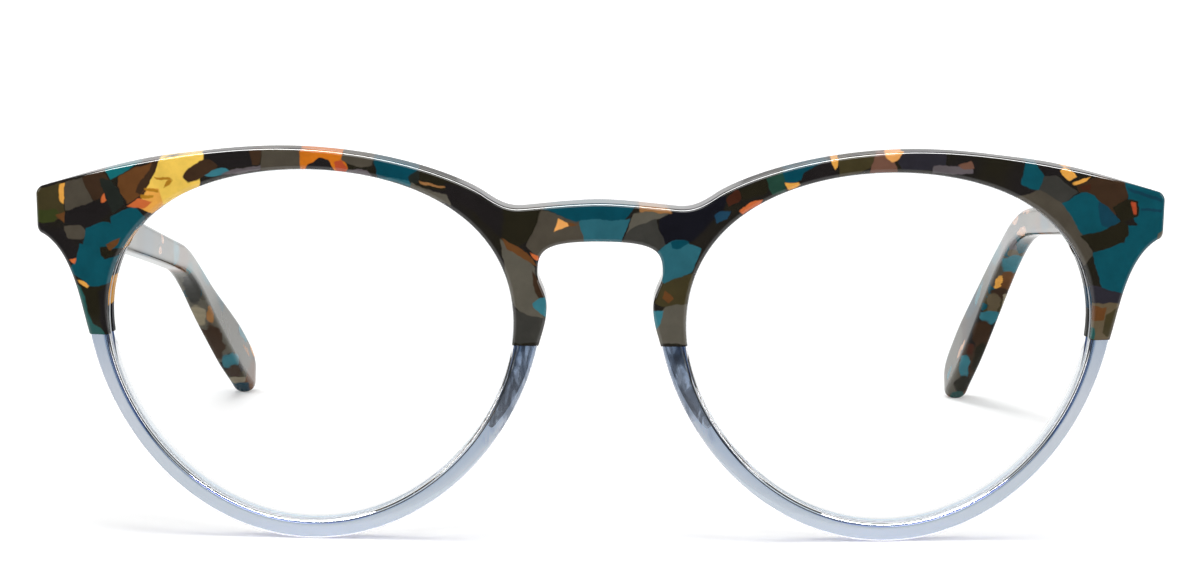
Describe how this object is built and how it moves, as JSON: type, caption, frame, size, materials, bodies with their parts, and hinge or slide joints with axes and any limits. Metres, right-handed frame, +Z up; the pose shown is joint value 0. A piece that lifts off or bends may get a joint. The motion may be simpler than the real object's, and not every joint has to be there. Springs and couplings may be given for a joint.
{
  "type": "round eyeglasses",
  "caption": "Round keyhole-bridge eyeglasses with a dark patterned acetate brow, clear lower rims and folding temples.",
  "frame": {"origin": "centre of the whole object's footprint box, on the plane it stands on", "axes": "the front faces -Y, +X is the wearer's left, +Z is up; the glasses stand open on the rims and the temple tips"},
  "size_m": [0.1346, 0.1512, 0.0472],
  "materials": {
    "dark_acetate": "polished acetate with large teal, grey, amber and near-black patches",
    "clear_acetate": "polished clear acetate with a cool tint",
    "lens": "clear resin demonstration lens",
    "hinge_metal": "nickel silver",
    "screw_metal": "steel",
    "core_metal": "drawn wire"
  },
  "bodies": {
    "front": {"front_upper": "dark_acetate", "lower_rim_left": "clear_acetate", "lower_rim_right": "clear_acetate", "nose_pad_left": "clear_acetate", "nose_pad_right": "clear_acetate", "lens_left": "lens", "lens_right": "lens", "front_hinge_left": "hinge_metal", "front_hinge_right": "hinge_metal", "hinge_screw_left": "screw_metal", "hinge_screw_right": "screw_metal"},
    "temple_l": {"temple_left": "dark_acetate", "temple_hinge_left": "hinge_metal", "core_wire_left": "core_metal"},
    "temple_r": {"temple_right": "dark_acetate", "temple_hinge_right": "hinge_metal", "core_wire_right": "core_metal"}
  },
  "joints": [
    {"name": "temple_left_fold", "type": "hinge", "parent": "front", "child": "temple_l", "pos_m": [0.0603, -0.06337, 0.03975], "axis": [0, -0.0845, 0.9964], "range_deg": [0, 87]},
    {"name": "temple_right_fold", "type": "hinge", "parent": "front", "child": "temple_r", "pos_m": [-0.0603, -0.06337, 0.03975], "axis": [0, 0.0845, -0.9964], "range_deg": [0, 82]}
  ]
}
